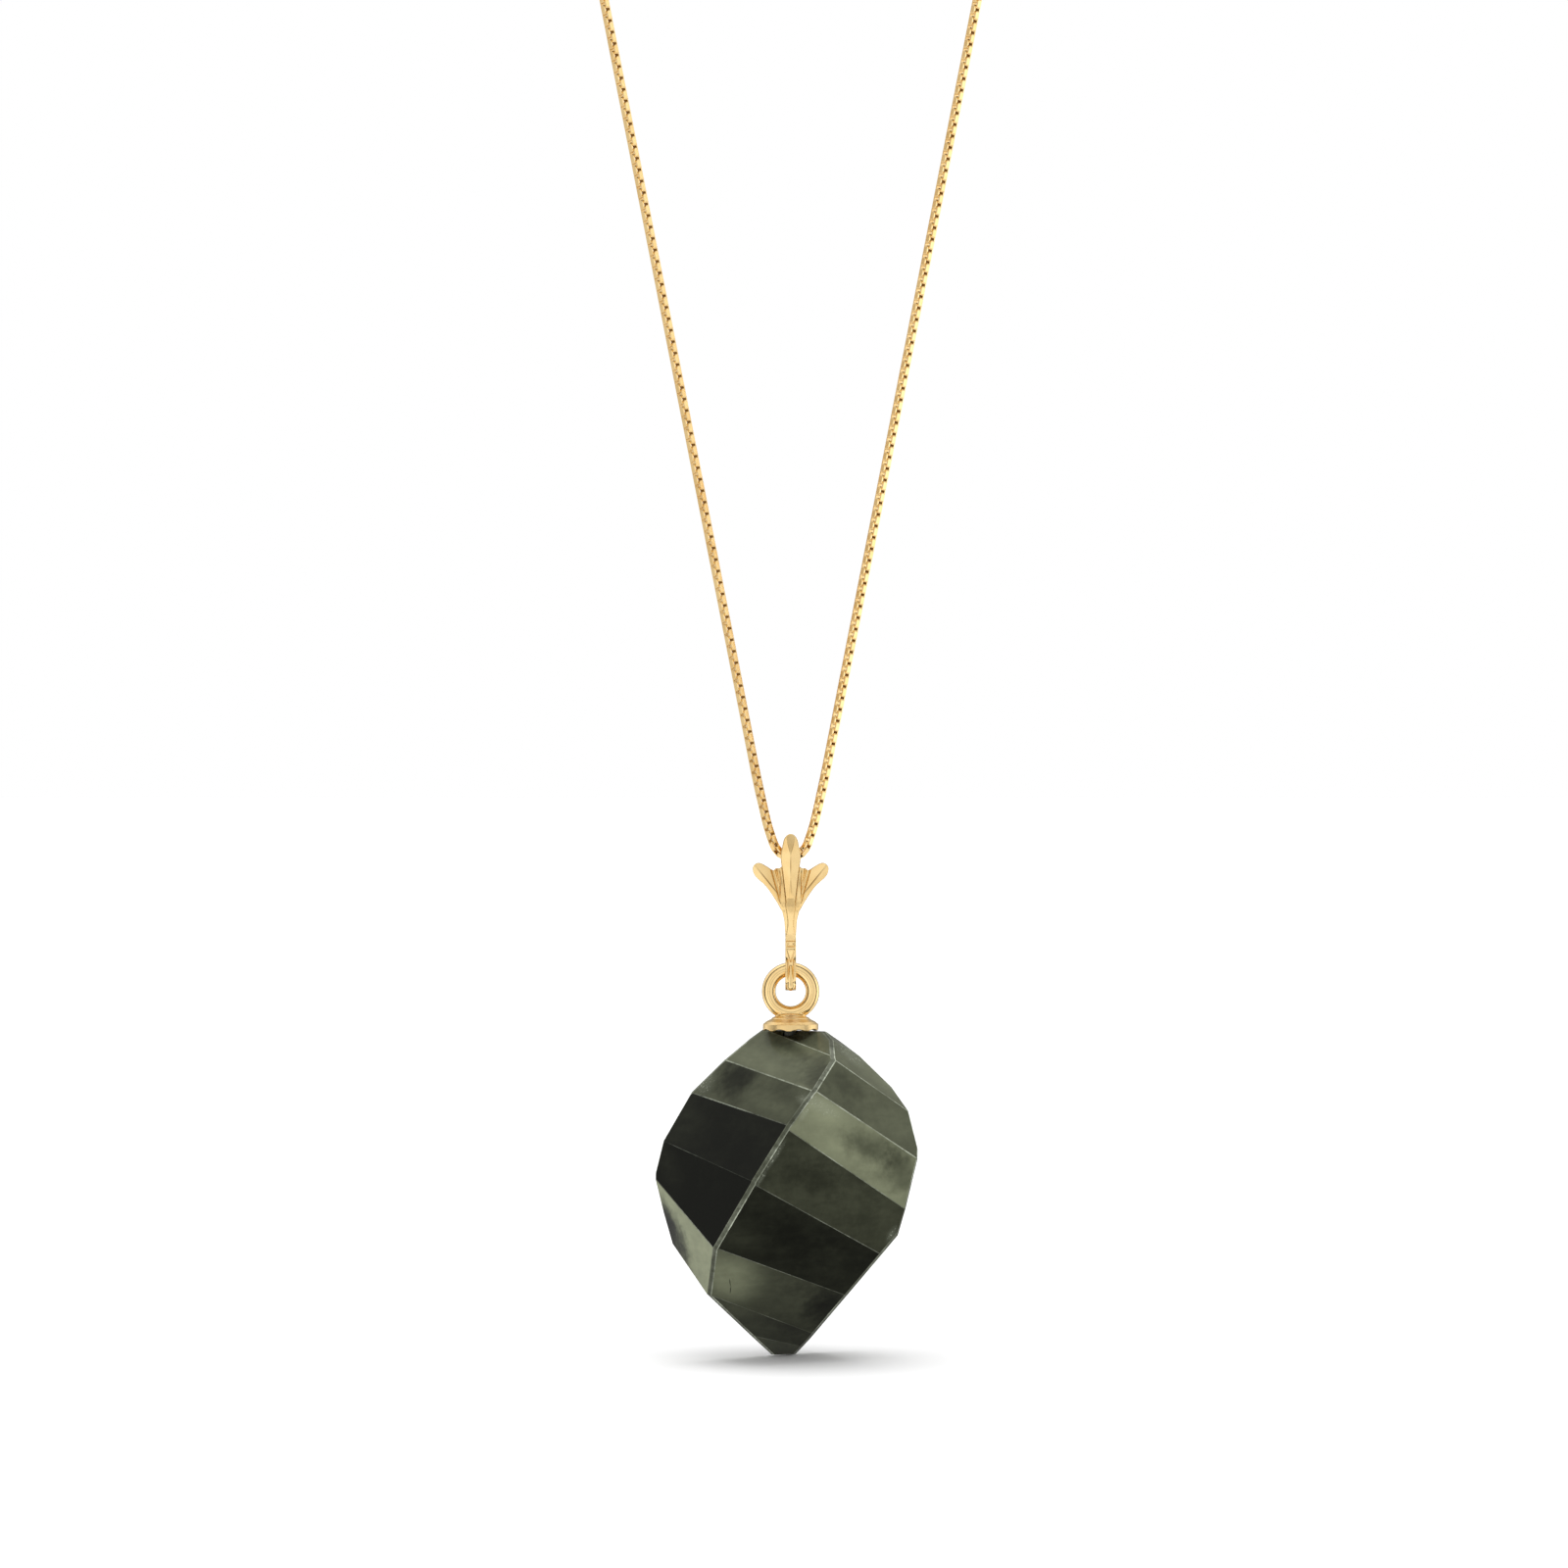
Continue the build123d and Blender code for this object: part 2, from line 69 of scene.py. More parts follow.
# Corners of a node's mesh closer than this are one, in millimetres
JOIN = 0.0005
# The chain's lowest centre, which the bail swings round
pivot = Vector(joints["bail_swing"]["pos_m"])

# The chain's route: the bend under the pendant, half of it, out from the middle
# and up from the lowest centre, then straight sides and a round crown
CHAIN_BEND = [(0.40, 0.00), (0.76, 0.40), (1.10, 1.39), (1.58, 3.47)]
SIDE_LEAN = radians(11.1)
CROWN_CORNERS = 5
# How much of its shorter run a corner of the route is rounded over, the step
# round it, and the fewest steps
ARC_SHARE = 0.45
ARC_STEP = 0.1 * MM
ARC_STEPS = 4
# Places on the route closer than this are one
SAME_PLACE = 1e-9
# Half the chain's thickness, and the loops that end it
CHAIN_HALF = 0.29 * MM
CHAIN_LOOP_RADIUS = 0.50 * MM
CHAIN_LOOP_WIRE = 0.34 * MM
# How far a link's corners are cut, inside and outside, as shares of its strip
INNER_CHAMFER = 0.25
OUTER_CHAMFER = 0.8
# The band of a link's faces that looks outward, and which of its eight faces
# are the link's two long sides
OUTER_BAND = 2
LINK_SIDES = (3, 7)

# The photograph is taken as square, with the chain's lowest centre at one pixel
# and the stone's middle at this height
PHOTO_PIXELS = 1600
PIXEL = 0.047 * MM
PIVOT_PIXEL = (806.8, 873.0)
STONE_MIDDLE_PIXEL = 1200.0
LENS = 120.0
SENSOR = 36.0
NEAR_CLIP = 0.01
FAR_CLIP = 10.0

# Nearly all of a noise's values lie between these
NOISE_RANGE = (0.3, 0.7)

# The gold's drifts of colour and its duller patches: their size, where in their
# noise they start and are whole, and how much rougher a patch is
DRIFT_SIZE = 1.3 * MM
DRIFT_RANGE = (0.4, 0.7)
PATCH_SIZE = 0.5 * MM
PATCH_RANGE = (0.35, 0.75)
PATCH_ROUGHER = 0.08
# Size and depth of the grain on cast gold and on the chain's strip
CAST_GRAIN = (0.12 * MM, 0.002 * MM)
STRIP_GRAIN = (0.06 * MM, 0.001 * MM)
GRAIN_STRENGTH = 0.2
# How far each round of polishing evens out the cast pieces
POLISH_FACTOR = 0.5
# Painted shade in the gold's creases: where the surface bends in so far that the
# shade is full brown, and where the brown ends. A flat surface is at 0.5.
CREASE_BEND = (0.40, 0.485)
# How strong that painted crease shade is on the bail and on the cap
BAIL_CREASE_SHADE = 1.0
CAP_CREASE_SHADE = 0.4

# How far the bail's leaves stand before the chain's middle, and how deep the painted
# shade lines of their creases reach, in millimetres
LEAF_FRONT = 0.92
LEAF_DEPTH = 0.50
# How much of a crease's painted shade line is full brown, and where the brown ends,
# as shares of its half sizes
CREASE_FADE = (0.3, 1.0)
# Dull dark painted shade on the peg under the cap: how far it rises over the stone's
# top, and how dull it is
PEG_SHADE_RISE = 0.02 * MM
PEG_SHADE_ROUGHNESS = 0.7
# How much duller than the ring the cap is. It fades from this far over the top of
# the peg's painted shade to twice as far.
SATIN = 0.22
SATIN_RISE = 0.5 * MM

# How much painted shade the gold takes inside the chain's links that open to the
# right and to the left, and on the links' ends
INNER_PAINTED_SHADES = (1.0, 0.3)
LINK_END_PAINTED_SHADE = 0.4

# Light of the room that the gold mirrors: the way in which it changes, between
# which places it does, from -1 to 1, and how bright it is before and after
ROOM_LIGHT = [
    # way, start, end, before, after
    ("right", -0.7, 0.7, 1.16, 1.00),
    ("up", -0.5, 0.6, 1.10, 0.94),
    ("right", -0.96, -0.86, 0.68, 1.0),
    ("right", 0.84, 0.95, 1.0, 1.6),
    ("up", 0.6, 0.9, 1.0, 1.3),
]

# Dark gaps in the room that the gold mirrors: where each stands between the
# camera's side at -1 and the far side at 1, half its width and what it lets by
DARK_GAPS = [
    # middle, half_width, shade
    (-0.955, 0.035, 0.62),
    (-0.32, 0.20, 0.06),
    (1.0, 0.34, 0.30),
]

# Painted shade lines in the bail's creases, on its right half, and mirrored on its
# left one: the middle of each as seen from the front, out from the middle and up
# from the chain's lowest centre, its half sizes in millimetres, its lean and its
# strength
CREASE_SHADE_LINES = [
    # out, up, half_length, half_width, lean, strength
    (1.02, -1.30, 1.16, 0.034, 51, 0.9),
    (0.106, 0.42, 0.46, 0.020, 76, 0.6),
    (0.0, -0.45, 0.62, 0.026, 90, 0.9),
    (0.03, -1.50, 0.60, 0.018, 93, 0.5),
    (0.62, -1.10, 0.62, 0.022, 68, 0.45),
    (0.44, -1.25, 0.50, 0.020, 80, 0.4),
    (0.525, -0.76, 0.20, 0.045, 90, 0.9),
]

# Floor: half its width, the size of its patches, its shades and its finish
FLOOR_HALF = 20.0
FLOOR_PATCH = 0.05
FLOOR_SHADES = (0.93, 0.95)
FLOOR_ROUGHNESS = 0.9
FLOOR_GLOSS = 0.1

# Facets of the stone's front, from the top down on each side of its ridge, and
# the slanting one over its foot. Each has its turn from the front, its slope up
# from the vertical, and its painted shading on the front and half a turn round:
# how light it is painted to stand for the light, shade and reflections on it.
FACETS = [
    # name, turn, slope, front, back
    ("left 0", -29.0, 64.5, 0.56, 0.45),
    ("left 1", -39.0, 51.5, 0.61, 0.35),
    ("left 2", -44.0, 37.5, 0.46, 0.55),
    ("left 3", -46.0, 29.0, 0.10, 0.25),
    ("left 4", -51.5, 6.0, 0.04, 0.40),
    ("left 5", -63.0, -13.0, 0.94, 0.15),
    ("left 6", -94.5, -40.0, 0.60, 0.60),
    ("left 7", -92.5, -41.5, 0.55, 0.40),
    ("right 0", 82.5, 53.5, 0.56, 0.45),
    ("right 1", 69.5, 43.0, 0.62, 0.30),
    ("right 2", 45.5, 15.5, 0.56, 0.12),
    ("right 3", 33.0, -6.0, 0.84, 0.50),
    ("right 4", 30.0, -11.0, 0.38, 0.20),
    ("right 5", 16.0, -34.0, 0.19, 0.60),
    ("right 6", 14.0, -37.5, 0.40, 0.35),
    ("right 7", 11.0, -42.0, 0.35, 0.45),
    ("right 8", 8.0, -48.0, 0.47, 0.20),
    ("foot", -12.0, -65.0, 0.95, 0.40),
]

# Clouds in the stone, each kept to one facet of the front, which stand both for the
# stone's clouding and for painted light and shade across the facet: its place from
# the stone's middle as seen from the front, its half sizes in millimetres, its lean
# in degrees and how much lighter or darker it makes the facet
CLOUDS_AND_SHADING = [
    # facet, right, up, half_width, half_height, lean, lighter
    ("left 1", -1.6, 5.6, 1.6, 0.5, -20, 0.07),
    ("left 1", 0.0, 6.2, 1.3, 0.25, -24, -0.09),
    ("left 1", 1.3, 5.2, 0.9, 0.8, 20, -0.18),
    ("left 2", -2.7, 4.7, 1.1, 0.8, 25, -0.22),
    ("left 2", -0.7, 3.6, 1.8, 0.5, -20, 0.05),
    ("left 3", -5.4, 2.8, 1.4, 1.6, 0, 0.10),
    ("left 3", -2.4, 1.6, 1.3, 0.9, 30, -0.05),
    ("left 4", -6.0, 0.8, 0.8, 2.0, 25, 0.12),
    ("left 4", -3.6, -1.6, 1.1, 1.6, 25, -0.04),
    ("left 5", -5.8, -2.6, 0.60, 1.9, 26, -0.72),
    ("left 5", -4.5, -4.4, 0.5, 1.2, 30, -0.06),
    ("right 1", 5.0, 4.6, 2.2, 0.7, -35, 0.13),
    ("right 2", 5.2, 2.6, 1.4, 0.8, -30, 0.06),
    ("right 2", 2.6, 4.6, 1.6, 0.5, -30, -0.05),
    ("right 3", 3.9, 1.6, 1.7, 0.85, -25, -0.26),
    ("right 3", 5.2, 0.3, 1.3, 1.1, -30, -0.17),
    ("right 3", 2.3, 1.6, 1.4, 0.5, -30, 0.05),
    ("right 3", 1.7, 3.3, 1.3, 0.7, -30, 0.09),
    ("right 4", 3.6, -1.1, 2.6, 0.7, -32, 0.04),
    ("right 4", 1.2, 0.2, 1.6, 0.8, -30, -0.07),
    ("right 5", -2.4, -2.6, 1.2, 0.9, -20, 0.08),
    ("right 5", 0.6, -2.8, 1.6, 1.2, -20, -0.05),
    ("right 6", -3.0, -4.5, 2.0, 1.5, -15, 0.36),
    ("right 6", 2.2, -6.3, 1.6, 1.4, -20, -0.22),
    ("right 7", -2.8, -6.2, 1.2, 0.6, -15, 0.06),
    ("right 7", 0.9, -7.2, 1.8, 0.8, -15, -0.06),
]

# Pale frosty patches, partly frosting and partly painted sheen: their place seen from the front, and their
# half sizes and lean
FROST_AND_SHEEN = [
    # right, up, half_width, half_height, lean
    (-4.2, 4.6, 0.75, 0.55, 45),
    (1.4, 3.7, 1.1, 0.35, -30),
    (0.6, 4.0, 0.35, 0.25, 0),
    (-0.75, 1.35, 0.13, 0.85, -33),
    (-1.40, 0.30, 0.10, 0.45, -33),
    (0.62, 3.30, 0.12, 0.40, -33),
    (4.8, -2.7, 0.25, 0.5, -30),
    (2.9, 5.9, 1.0, 0.30, -38),
    (4.9, 4.3, 0.8, 0.16, -38),
]

# Fine cracks in the stone's front: their middle, half sizes and lean
CRACKS = [
    # right, up, half_length, half_width, lean
    (-2.88, -4.84, 0.26, 0.028, 97),
    (-2.86, -5.22, 0.24, 0.028, 84),
]

# How wide the edge between two facets is, and how worn and pale with painted
# highlight, where that is most
WORN_AND_HIGHLIT_EDGES = {
    # facets: (width, wear)
    ("left 0", "left 1"): (0.05, 0.50),
    ("left 1", "left 2"): (0.07, 0.70),
    ("left 2", "left 3"): (0.06, 0.38),
    ("left 3", "left 4"): (0.03, 0.14),
    ("left 4", "left 5"): (0.05, 0.40),
    ("right 0", "right 1"): (0.05, 0.50),
    ("right 1", "right 2"): (0.06, 0.65),
    ("right 2", "right 3"): (0.06, 0.75),
    ("right 3", "right 4"): (0.05, 0.50),
    ("right 4", "right 5"): (0.04, 0.40),
    ("right 5", "right 6"): (0.04, 0.30),
    ("right 6", "right 7"): (0.04, 0.20),
    ("right 7", "right 8"): (0.04, 0.20),
}

# Painted shading of the ridge's flat and of its left and right rims, their wear with
# painted highlight, and the wear with painted highlight of an edge that the table
# doesn't name
RIDGE_SHADING = 0.42
RIDGE_WEAR_AND_HIGHLIGHT = 0.22
RIM_SHADING = 0.5
RIM_WEARS_AND_HIGHLIGHTS = (0.32, 1.0)
EDGE_WEAR_AND_HIGHLIGHT = 0.25
# What the stone's mesh says of each face: the number of its facet, which only
# the front's facets have and their clouds go by, its painted shading, and its wear
# with painted highlight
STONE_MARKS = ("facet", "tone", "wear")
NO_FACET = 0
# A face is a facet's where it looks the same way within this angle. Faces at less
# than the second angle to each other are one.
FACET_MATCH = radians(1.5)
FLAT_MATCH = radians(0.4)
# Corners this near to a cut lie on it, in millimetres
ON_CUT = 1e-6

# Noise in the stone: the size of its spots, its detail and its roughness
SOFT = (1.6 * MM, 4.0, 0.5)
MOTTLE = (0.40 * MM, 5.0, 0.65)
STREAKS = (0.35 * MM, 4.0, 0.6)
FLECKS = (0.09 * MM, 3.0, 0.6)
BREAKS = (0.30 * MM, 4.0, 0.7)
FADES = (2.2 * MM, 3.0, 0.5)
# Turn and stretch of the streaks
STREAK_LEAN = radians(-20)
STREAK_STRETCH = (0.25, 0.25, 1.0)
# How far noise lightens and darkens the stone, and how far it moves the edges of
# the clouds with their painted shading and of the frost with its painted sheen
SOFT_TONE = 0.03
MOTTLE_TONE = 0.015
STREAK_TONE = 0.02
SOFT_EDGE = 0.16
MOTTLE_EDGE = 0.05
# How flecks break up the frost and its painted sheen, and how breaks and fades thin
# out the wear and painted highlight of the edges: where in their noise they start
# and end, and how much they let by there
FLECKS_SHOW = (0.56, 0.70, 0.10, 0.62)
BREAKS_SHOW = (0.30, 0.60, 0.25, 1.0)
FADES_SHOW = (0.40, 0.60, 0.35, 1.0)
# Up to where the clouds with their painted shading, the frost with its painted sheen
# and the cracks are whole, and where they end, as shares of their half sizes. They
# go right through the stone, in metres.
CLOUD_AND_SHADING_FADE = (0.2, 1.3)
FROST_AND_SHEEN_FADE = (0.1, 1.3)
CRACK_FADE = (0.4, 1.0)
THROUGH = 1.0
# How dark a crack is, and the power that turns the painted shading into how light a facet is
CRACK_SHADE = 0.85
TONE_CURVE = 2.2
# Roughness of the stone where it is polished and where it is worn, its gloss
# and its relief
STONE_ROUGHNESS = (0.20, 0.55)
STONE_GLOSS = 0.05
STONE_RELIEF = 0.003 * MM
STONE_RELIEF_STRENGTH = 0.1


# Settings

class ChainSettings(bpy.types.PropertyGroup):
    """Sizes of the box chain's links."""

    width: FloatProperty(name="Link width", description="Width of a box link over its square faces",
                         default=0.42 * MM, unit="LENGTH", precision=6)
    strip: FloatProperty(name="Strip thickness", description="Thickness of the strip a link is folded from",
                         default=0.08 * MM, unit="LENGTH", precision=6)
    pitch: FloatProperty(name="Pitch", description="Distance from one link to the next",
                         default=0.28 * MM, unit="LENGTH", precision=6)
    play: FloatProperty(name="Play", description="Room between a link and the one it passes through",
                        default=0.005 * MM, unit="LENGTH", precision=6)
    edge: FloatProperty(name="Edge", description="Width of the worn edge round a link's outer faces",
                        default=0.02 * MM, unit="LENGTH", precision=6)
    turn: FloatProperty(name="Turn", description="How far the chain's faces are turned from the front",
                        default=radians(44), subtype="ANGLE")


class GoldSettings(bpy.types.PropertyGroup):
    """Colour and finish of the gold, and how finely its cast pieces are formed."""

    colour: FloatVectorProperty(name="Gold", description="Colour of the polished gold",
                                default=(0.89, 0.65, 0.31), subtype="COLOR", min=0, max=1)
    worn_colour: FloatVectorProperty(name="Worn gold", description="Colour of the gold where it is dull",
                                     default=(0.80, 0.55, 0.235), subtype="COLOR", min=0, max=1)
    # Colour of all painted shade on the gold: in creases, along crease lines and inside the chain's links
    painted_shade_colour: FloatVectorProperty(name="Crease", description="Colour of the gold down in its creases",
                                       default=(0.22, 0.10, 0.02), subtype="COLOR", min=0, max=1)
    # Colour of the dull dark painted shade on the peg under the cap
    peg_shade_colour: FloatVectorProperty(name="Peg_shade", description="Colour of the peg_shade under the cap",
                                     default=(0.03, 0.032, 0.022), subtype="COLOR", min=0, max=1)
    roughness: FloatProperty(name="Roughness", description="Roughness of the polished gold",
                             default=0.13, min=0, max=1, subtype="FACTOR")
    bail_grain: FloatProperty(name="Bail grain", description="Size of the smallest form on the cast bail",
                              default=0.023 * MM, unit="LENGTH", precision=6)
    cap_grain: FloatProperty(name="Cap grain", description="Size of the smallest form on the cap's casting",
                             default=0.026 * MM, unit="LENGTH", precision=6)
    smoothing: IntProperty(name="Smoothing", description="Rounds of polishing on the cast pieces",
                           default=5, min=0)


class StoneSettings(bpy.types.PropertyGroup):
    """Colours of the stone, between which each facet's painted shading goes, and the widths of its ridge and
    its edges, worn and painted with highlights.
    """

    # Each facet's painted shading goes from the dark to the light colour
    dark: FloatVectorProperty(name="Dark stone", description="Colour of the darkest facets",
                              default=(0.005, 0.0054, 0.0036), subtype="COLOR", min=0, max=1)
    light: FloatVectorProperty(name="Light stone", description="Colour of the lightest facets",
                               default=(0.278, 0.300, 0.190), subtype="COLOR", min=0, max=1)
    # Pale colour of chips and worn edges, which also stands for painted highlights on the edges and painted
    # sheen in the frosty patches
    worn: FloatVectorProperty(name="Worn edge", description="Colour of chips and worn edges",
                              default=(0.52, 0.56, 0.45), subtype="COLOR", min=0, max=1)
    ridge: FloatProperty(name="Ridge width", description="Width of the ground ridge between the two sides",
                         default=0.20 * MM, unit="LENGTH", precision=6)
    rim: FloatProperty(name="Rim width", description="Width of the worn rims of the ridge",
                       default=0.05 * MM, unit="LENGTH", precision=6)
    edge: FloatProperty(name="Edge width", description="Width of the other worn edges",
                        default=0.03 * MM, unit="LENGTH", precision=6)


class StageSettings(bpy.types.PropertyGroup):
    """Floor and light."""

    gap: FloatProperty(name="Floor gap", description="Room between the stone's foot and the floor",
                       default=0.05 * MM, unit="LENGTH", precision=6)
    sun: FloatProperty(name="Overhead light", description="Strength of the soft light from above",
                       default=1.9, min=0)
    spread: FloatProperty(name="Softness", description="How wide the light from above is",
                          default=radians(55), subtype="ANGLE")
    lean: FloatProperty(name="Lean", description="How far the light from above leans in from the left",
                        default=radians(3), subtype="ANGLE")
    fill: FloatProperty(name="Room light", description="Strength of the light from all round",
                        default=0.70, min=0)


# Objects and meshes

def add_object(name, data):
    """A new object in the scene."""
    item = bpy.data.objects.new(name, data)
    bpy.context.scene.collection.objects.link(item)
    return item


def new_piece(name, mesh, body, material):
    """A mesh object that rides on a body."""
    piece = add_object(name, mesh)
    mesh.materials.clear()
    mesh.materials.append(material)
    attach(piece, body)
    return piece


def node_form(node):
    """A copy of a node's mesh in millimetres, with its corners joined."""
    form = bmesh.new()
    form.from_mesh(frame["nodes"][node].data)
    form.transform(Matrix.Scale(1 / MM, 4))
    bmesh.ops.remove_doubles(form, verts=form.verts, dist=JOIN)
    return form


def form_mesh(name, form):
    """A new mesh from a form, which is used up."""
    mesh = bpy.data.meshes.new(name)
    form.to_mesh(mesh)
    form.free()
    return mesh


# Shaders

class Shader:
    """A node tree that is built one node at a time."""

    def __init__(self, tree):
        self.tree = tree
        tree.nodes.clear()

    def add(self, kind, sockets=None, **settings):
        """A new node, with values or other nodes' outputs in its sockets."""
        node = self.tree.nodes.new("ShaderNode" + kind)
        for key, value in settings.items():
            setattr(node, key, value)
        for key, value in (sockets or {}).items():
            self.fill(node.inputs[key], value)
        return node

    def fill(self, socket, value):
        """Sets a socket, or links another node's output to it."""
        if isinstance(value, bpy.types.NodeSocket):
            self.tree.links.new(value, socket)
        else:
            socket.default_value = value

    def math(self, operation, first, *others):
        """The operation on the first value and each of the others in turn."""
        for other in others or (0.0,):
            first = self.add("Math", {0: first, 1: other}, operation=operation).outputs[0]
        return first

    def mix(self, factor, first, second):
        """A colour between two others."""
        node = self.add("Mix", {"Factor": factor}, data_type="RGBA")
        for name, value in (("A", first), ("B", second)):
            self.fill(next(s for s in node.inputs if s.name == name and s.type == "RGBA"), value)
        return next(s for s in node.outputs if s.type == "RGBA")

    def between(self, factor, first, second):
        """A number between two others."""
        step = self.math("MULTIPLY", factor, self.math("SUBTRACT", second, first))
        return self.math("ADD", step, first)

    def noise(self, place, size, detail=3.0, roughness=0.5):
        """Noise whose spots are about this size, in metres."""
        sockets = {"Vector": place, "Scale": 1 / size, "Detail": detail, "Roughness": roughness}
        return self.add("TexNoise", sockets).outputs["Fac"]

    def spread(self, value, low, high, to_low=0.0, to_high=1.0):
        """A soft step from one number to another, as the value goes from low to high."""
        sockets = {"Value": value, "From Min": low, "From Max": high, "To Min": to_low, "To Max": to_high}
        return self.add("MapRange", sockets, interpolation_type="SMOOTHSTEP").outputs[0]

    def sway(self, noise, most):
        """Noise as a number between less and more than nothing by this much."""
        return self.spread(noise, *NOISE_RANGE, -most, most)

    def ellipse(self, place, centre, sizes, lean, inner, outer, ragged=0.0):
        """One inside the inner share of an ellipsoid, and nothing past the outer one.

        It leans as seen from the front.
        """
        sockets = {"Vector": place, "Location": centre, "Rotation": (0, -radians(lean), 0), "Scale": sizes}
        local = self.add("Mapping", sockets, vector_type="TEXTURE").outputs[0]
        far = self.add("VectorMath", {0: local}, operation="LENGTH").outputs["Value"]
        return self.spread(self.math("ADD", far, ragged), inner, outer, 1.0, 0.0)

    def surface(self, sockets):
        """The surface that the tree gives out."""
        surface = self.add("BsdfPrincipled", sockets)
        self.add("OutputMaterial", {"Surface": surface.outputs[0]})


def new_material(name):
    """A new material, its shader, and the place on the piece that patterns start from."""
    material = bpy.data.materials.new(name)
    material.use_nodes = True
    shader = Shader(material.node_tree)
    return material, shader, shader.add("TexCoord").outputs["Object"]


def rgba(colour):
    """A colour with full cover."""
    return (*colour, 1.0)


# Gold

def crease_shade_lines(shader, place):
    """One along the bail's painted crease shade lines, and nothing elsewhere."""
    right, away, up = shader.add("SeparateXYZ", {0: place}).outputs
    half = shader.add("CombineXYZ", {0: shader.math("ABSOLUTE", right), 1: away, 2: up}).outputs[0]
    lines = 0.0
    for out, high, half_length, half_width, lean, strength in CREASE_SHADE_LINES:
        centre = pivot + Vector((out, -LEAF_FRONT, high)) * MM
        sizes = (half_length * MM, LEAF_DEPTH * MM, half_width * MM)
        line = shader.math("MULTIPLY", shader.ellipse(half, centre, sizes, lean, *CREASE_FADE), strength)
        lines = shader.math("MAXIMUM", lines, line)
    return lines


def gold_material(settings, name, grain, creased=0.0, shaded_inside=False, shaded_below=None):
    """Polished gold with a faint grain and duller patches, painted shade in its creases and inside the
    chain's links, and dull dark painted shade below a height.
    """
    material, shader, place = new_material(name)
    grain_size, relief = grain
    fine = shader.noise(place, grain_size, detail=4.0)
    drift = shader.spread(shader.noise(place, DRIFT_SIZE), *DRIFT_RANGE)
    colour = shader.mix(drift, rgba(settings.colour), rgba(settings.worn_colour))
    patches = shader.noise(place, PATCH_SIZE)
    dull = shader.spread(patches, *PATCH_RANGE, settings.roughness, settings.roughness + PATCH_ROUGHER)
    metal = 1.0
    # Painted shade where the surface bends in, and along the bail's crease lines
    if creased:
        sunk = shader.add("NewGeometry").outputs["Pointiness"]
        sunk = shader.spread(sunk, *CREASE_BEND, creased, 0.0)
        lines = shader.math("MAXIMUM", sunk, crease_shade_lines(shader, place))
        colour = shader.mix(lines, colour, rgba(settings.painted_shade_colour))
    # Painted shade inside the chain's links and on their ends
    if shaded_inside:
        inner = shader.add("Attribute", attribute_name="inner").outputs["Fac"]
        colour = shader.mix(inner, colour, rgba(settings.painted_shade_colour))
    # Dull dark painted shade on the peg below the cap's rim, where the gap is in shade
    if shaded_below is not None:
        height = shader.add("SeparateXYZ", {0: place}).outputs[2]
        metal = shader.math("GREATER_THAN", height, shaded_below)
        colour = shader.mix(metal, rgba(settings.peg_shade_colour), colour)
        satin = shader.spread(height, shaded_below + SATIN_RISE, shaded_below + 2 * SATIN_RISE, SATIN, 0.0)
        dull = shader.math("ADD", dull, satin)
        dull = shader.math("MAXIMUM", dull, shader.math("SUBTRACT", PEG_SHADE_ROUGHNESS, metal))
    bump = shader.add("Bump", {"Height": fine, "Strength": GRAIN_STRENGTH, "Distance": relief})
    shader.surface({"Base Color": colour, "Metallic": metal, "Roughness": dull, "Normal": bump.outputs[0]})
    return material


def cast_copy(node, grain, smoothing):
    """A copy of a node's mesh with the soft edges of cast and polished metal."""
    mesh = form_mesh(node + "_form", node_form(node))
    whole = add_object(node + "_form", mesh)
    remesh = whole.modifiers.new("Grain", "REMESH")
    remesh.mode = "VOXEL"
    remesh.voxel_size = grain / MM
    polish = whole.modifiers.new("Polish", "SMOOTH")
    polish.factor = POLISH_FACTOR
    polish.iterations = smoothing
    bpy.context.view_layer.update()
    made = bpy.data.meshes.new_from_object(whole.evaluated_get(bpy.context.evaluated_depsgraph_get()))
    bpy.data.objects.remove(whole)
    bpy.data.meshes.remove(mesh)
    made.transform(Matrix.Scale(MM, 4))
    made.shade_smooth()
    return made


class NECKLACE_OT_cast_metal(bpy.types.Operator):
    """Form the cast bail and the cap with its soldered ring, and finish the clasp and its rings"""

    bl_idname = "necklace.cast_metal"
    bl_label = "Cast gold pieces"

    def execute(self, context):
        settings = context.scene.necklace.gold
        stone_top = max(v.co.z for v in frame["nodes"]["stone"].data.vertices)
        gold = gold_material(settings, "cast_gold", CAST_GRAIN)
        # The bail's gold takes painted shade in its creases
        bail_gold = gold_material(settings, "creased_gold", CAST_GRAIN, creased=BAIL_CREASE_SHADE)
        # The cap's gold takes painted shade in its creases and on its peg below the rim
        cap_gold = gold_material(settings, "glued_gold", CAST_GRAIN, creased=CAP_CREASE_SHADE,
                                 shaded_below=stone_top + PEG_SHADE_RISE)
        castings = (("bail", "bail", settings.bail_grain, bail_gold),
                    ("stone_cap", "drop", settings.cap_grain, cap_gold))
        for node, body, grain, metal in castings:
            mesh = cast_copy(node, grain, settings.smoothing)
            piece = new_piece("cast_" + node, mesh, body, metal)
            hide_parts(node)
        for node in ("clasp", "end_ring_left", "end_ring_right"):
            for slot in frame["nodes"][node].material_slots:
                slot.material = gold
        return {"FINISHED"}


# Box chain

